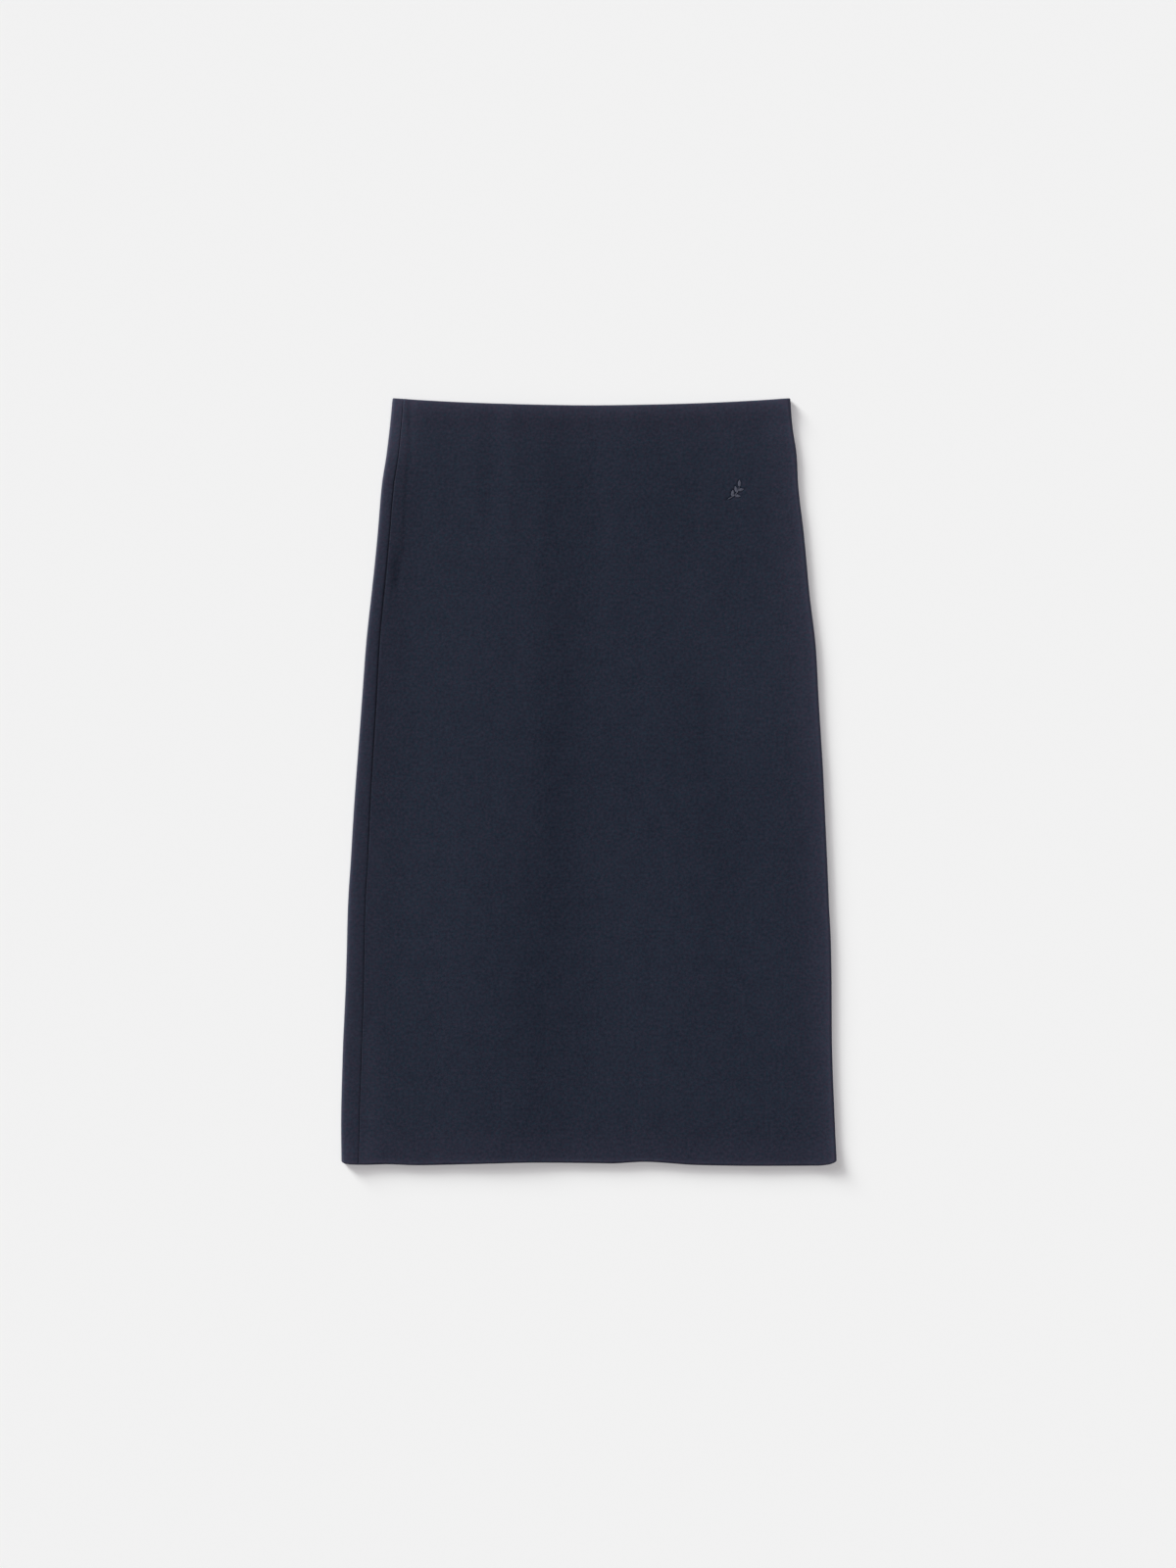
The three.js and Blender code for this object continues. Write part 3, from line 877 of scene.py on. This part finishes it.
# ---- Stitches ----
STITCH_POINTS = 7  # along one stitch
THREAD_SIDES = 6
THREAD_TAPER = 0.28  # how much thinner a stitch is at its ends
THREAD_INPUTS = [
    ("Geometry", "NodeSocketGeometry"),
    ("Thickness", "NodeSocketFloat"),
    ("Arch", "NodeSocketFloat"),
    ("Thread", "NodeSocketMaterial"),
]


def thread_tree():
    """Geometry nodes that make each edge of a mesh a stitch: a thread that arches over it."""
    tree = bpy.data.node_groups.new("stitches", "GeometryNodeTree")
    for name, kind in THREAD_INPUTS:
        tree.interface.new_socket(name, in_out="INPUT", socket_type=kind)
    tree.interface.new_socket("Geometry", in_out="OUTPUT", socket_type="NodeSocketGeometry")
    graph = Graph(tree)
    group = graph.add("NodeGroupInput").socket.node
    lines, thickness, arch, finish = [Value(graph, socket) for socket in group.outputs][:4]
    curve = graph.add("GeometryNodeMeshToCurve", {}, {"Mesh": lines})
    curve = graph.add("GeometryNodeResampleCurve", {}, {"Curve": curve, "Count": STITCH_POINTS})
    share = graph.add("GeometryNodeSplineParameter")
    passed = Value(graph, share.socket.node.outputs["Length"])
    curve = graph.add(
        "GeometryNodeStoreNamedAttribute", {}, {"Geometry": curve, "Name": "along", "Value": passed}
    )
    hump = 4 * share * (1 - share)
    offset = graph.add("ShaderNodeCombineXYZ", {}, {"Z": arch * hump})
    curve = graph.add("GeometryNodeSetPosition", {}, {"Geometry": curve, "Offset": offset})
    ring = graph.add(
        "GeometryNodeCurvePrimitiveCircle", {}, {"Resolution": THREAD_SIDES, "Radius": 0.5}
    )
    turned = graph.add("GeometryNodeSplineParameter")
    ring = graph.add(
        "GeometryNodeStoreNamedAttribute", {}, {"Geometry": ring, "Name": "around", "Value": turned}
    )
    width = thickness * (1 - THREAD_TAPER + THREAD_TAPER * hump)
    tube = graph.add(
        "GeometryNodeCurveToMesh",
        {},
        {"Curve": curve, "Profile Curve": ring, "Scale": width, "Fill Caps": True},
    )
    tube = graph.add("GeometryNodeRealizeInstances", {}, {"Geometry": tube})
    tube = graph.add("GeometryNodeSetMaterial", {}, {"Geometry": tube, "Material": finish})
    result = tree.nodes.new("NodeGroupOutput")
    tree.links.new(tube.socket, result.inputs["Geometry"])
    return tree


def stitches(name, tree, starts, ends, thickness, arch, finish):
    """One mesh of stitches between pairs of points."""
    points = np.stack([starts, ends], axis=1).reshape(-1, 3) * MM
    lines = bpy.data.meshes.new(name + "_lines")
    lines.from_pydata(points.tolist(), [(i, i + 1) for i in range(0, len(points), 2)], [])
    drawn = place(name + "_lines", lines)
    modifier = drawn.modifiers.new("stitches", "NODES")
    modifier.node_group = tree
    items = tree.interface.items_tree
    sockets = {item.name: item.identifier for item in items if item.in_out == "INPUT"}
    modifier[sockets["Thickness"]] = thickness * MM
    modifier[sockets["Arch"]] = arch * MM
    modifier[sockets["Thread"]] = finish
    shown = drawn.evaluated_get(bpy.context.evaluated_depsgraph_get())
    mesh = bpy.data.meshes.new_from_object(shown)
    mesh.name = name
    mesh.polygons.foreach_set("use_smooth", [True] * len(mesh.polygons))
    drawn.modifiers.clear()
    bpy.data.objects.remove(drawn)
    return place(name, mesh)


def level_of(x, y):
    """The level of a point on the cloth, worked out from where it lies in a few rounds."""
    level = y
    for _ in range(3):
        level = y - shift(x, level)
    return level


def on_front(points, height):
    """Points laid on the front's outside, so far above it."""
    x, y = points[..., 0], points[..., 1]
    return np.stack([x, y, top_height(x, level_of(x, y)) + height], axis=-1)


# The leaves' satin stitches: from one to the next, how far from the foot and tip they begin and
# end along the vein, how far their outer ends lean forward and keep from the tip, how ragged
# those are, and how far past the vein each stitch begins.
SATIN = {
    "pitch": 0.36, "from_foot": 0.35, "from_tip": 0.5, "lean": 0.9, "tip_gap": 0.15,
    "ragged": 0.05, "past_vein": 0.06,
}
STEM_STITCH = {"length": 1.7, "pitch": 0.62, "aside": 0.2}
# A side seam's threads: how far from the skirt's ends they stop, how deep they lie, as a share of
# the groove, half their width, their slant, and how uneven their places and slants are.
SEWN = {
    "from_end": 8, "depth": 0.75, "half_width": 0.34, "slant": 0.3,
    "uneven_place": 0.18, "uneven_slant": 0.12,
}


def leaf_stitches():
    """Satin stitches of the leaves: two slanting rows in each, which meet along its vein."""
    rng = np.random.default_rng(5)
    veins = []
    edges = []
    for foot, way, length in leaf_places():
        aside = np.array([-way[1], way[0]])
        along = np.arange(SATIN["from_foot"], length - SATIN["from_tip"], SATIN["pitch"])
        for side in (-1, 1):
            lean = np.minimum(SATIN["lean"], length - along - SATIN["tip_gap"])
            half = leaf_half(along + lean, length) + rng.normal(0, SATIN["ragged"], len(along))
            vein = foot + along[:, None] * way - side * SATIN["past_vein"] * aside
            edge = foot + (along + lean)[:, None] * way + side * half[:, None] * aside
            veins.append(vein)
            edges.append(edge)
    return np.concatenate(veins), np.concatenate(edges)


def stem_stitches():
    """Stem stitches: each starts beside the one before it, a little to the side."""
    stitch = STEM_STITCH["length"]
    path, _ = stem_point(np.linspace(0, 1, num=60))
    length = np.linalg.norm(np.diff(path, axis=0), axis=1).sum()
    starts = np.arange(0, length - stitch, STEM_STITCH["pitch"])
    begin, heading = stem_point(starts / length)
    end, _ = stem_point((starts + stitch) / length)
    aside = np.stack([-heading[:, 1], heading[:, 0]], axis=-1)
    aside = STEM_STITCH["aside"] * aside / np.linalg.norm(aside, axis=1)[:, None]
    return begin - aside, end + aside


def seam_stitches():
    """The threads that show across the bottoms of the two side seams."""
    rng = np.random.default_rng(8)
    half_run = HALF_LENGTH - SEWN["from_end"]
    levels = np.arange(-half_run, half_run, SEAM_STITCH)
    levels = levels + rng.normal(0, SEWN["uneven_place"], len(levels))
    sunk = SEWN["depth"] * groove_depth(levels)
    left_seam = left(levels) + seam(levels)
    right_seam = right(levels) - seam(levels)
    starts = []
    ends = []
    for x, z in ((left_seam, top_height(left_seam, levels) - sunk), (right_seam, sunk)):
        y = levels + shift(x, levels)
        x = x + SIDE_WAVES(0, y)
        slant = rng.normal(SEWN["slant"], SEWN["uneven_slant"], len(levels))
        starts.append(np.stack([x - SEWN["half_width"], y - slant, z], axis=-1))
        ends.append(np.stack([x + SEWN["half_width"], y + slant, z], axis=-1))
    return np.concatenate(starts), np.concatenate(ends)


# ---- The skirt ----
# Each finish's darkest and palest colours.
NAVY = {"low": (0.0028, 0.0055, 0.0142), "high": (0.0351, 0.0415, 0.0672)}
EMBROIDERY = {"low": (0.03, 0.033, 0.055), "high": (0.1, 0.105, 0.15), "gleam": 0.4}
SEWING = {"low": (0.006, 0.008, 0.014), "high": (0.02, 0.024, 0.036), "gleam": 0.2}
# How high the sprig's threads lie above the front: along the veins and the stem, and at the
# leaves' edges, where they go down into the knit.
VEIN_HEIGHT = 0.1
STEM_HEIGHT = 0.16
LEAF_EDGE_HEIGHT = -0.12

navy_knit = knit("navy double knit", **NAVY)
front = panel("front_cloth", front_columns)
back = panel("back_cloth", back_columns)
for piece, node in ((front, "front_panel"), (back, "back_panel")):
    piece.data.materials.append(navy_knit)
    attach(piece, "root")
    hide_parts(node)

tree = thread_tree()
veins, leaf_edges = leaf_stitches()
stem_starts, stem_ends = stem_stitches()
sprig = stitches(
    "sprig_stitches",
    tree,
    np.concatenate([on_front(veins, VEIN_HEIGHT), on_front(stem_starts, STEM_HEIGHT)]),
    np.concatenate([on_front(leaf_edges, LEAF_EDGE_HEIGHT), on_front(stem_ends, STEM_HEIGHT)]),
    thickness=0.4,
    arch=0.26,
    finish=thread("embroidery thread", **EMBROIDERY),
)
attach(sprig, "root")
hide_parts("embroidered_sprig")

sewn = stitches(
    "seam_stitches",
    tree,
    *seam_stitches(),
    thickness=0.22,
    arch=0.0,
    finish=thread("sewing thread", **SEWING),
)
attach(sewn, "root")

# ---- The room ----
FLOOR_BELOW = 0.0002  # the paper lies this far under the skirt, so that they never meet
bpy.ops.mesh.primitive_plane_add(size=30, location=(0, 0, -FLOOR_BELOW))
floor = bpy.context.object
floor.name = "floor"
paper = Shader("paper", Roughness=1.0, Specular_IOR_Level=0.0, Base_Color=(0.9, 0.9, 0.9, 1))
floor.data.materials.append(paper.material)

# The room is pale to look at, and adds only a little light of its own.
ROOM_LIGHT = 0.138
ROOM_SEEN = 0.888
world = bpy.data.worlds.new("studio")
world.use_nodes = True
room = Graph(world.node_tree)
seen = room.add("ShaderNodeLightPath")
background = world.node_tree.nodes["Background"]
background.inputs["Color"].default_value = (1, 1, 1, 1)
brightness = ROOM_LIGHT + (ROOM_SEEN - ROOM_LIGHT) * seen
world.node_tree.links.new(brightness.socket, background.inputs["Strength"])
bpy.context.scene.world = world

# Two windows to the upper left and a lamp overhead, a little pinker than they are. Each shines
# from such a direction, and is so many degrees wide.
DAYLIGHT = (0.987, 1.01, 0.993)
LAMPLIGHT = (1.02, 0.985, 1.01)
LAMPS = [
    {"name": "low window", "from": (-2.2, 2.3, 1), "energy": 3.37, "angle": 20, "colour": DAYLIGHT},
    {"name": "high window", "from": (-1.24, 1.35, 1), "energy": 1.23, "angle": 30, "colour": DAYLIGHT},
    {"name": "ceiling lamp", "from": (0.12, -0.03, 1), "energy": 1.065, "angle": 30, "colour": LAMPLIGHT},
]
for lamp in LAMPS:
    sun = bpy.data.lights.new(lamp["name"], "SUN")
    sun.energy = lamp["energy"]
    sun.color = lamp["colour"]
    sun.angle = math.radians(lamp["angle"])
    hung = bpy.data.objects.new(lamp["name"], sun)
    hung.rotation_euler = Vector(lamp["from"]).to_track_quat("Z", "Y").to_euler()
    bpy.context.scene.collection.objects.link(hung)

VIEW_HEIGHT = 1.4731  # how much of the surface the frame takes in, from its foot to its head
VIEW_MIDDLE = (-0.0006, -0.0018)  # what the camera stands above
LENS = 100
lens = bpy.data.cameras.new("camera")
lens.sensor_width = 36
lens.lens = LENS
lens.clip_end = 50
camera = bpy.data.objects.new("camera", lens)
camera.location = (*VIEW_MIDDLE, VIEW_HEIGHT * LENS / lens.sensor_width)
bpy.context.scene.collection.objects.link(camera)
bpy.context.scene.camera = camera
bpy.context.scene.view_settings.view_transform = "Standard"
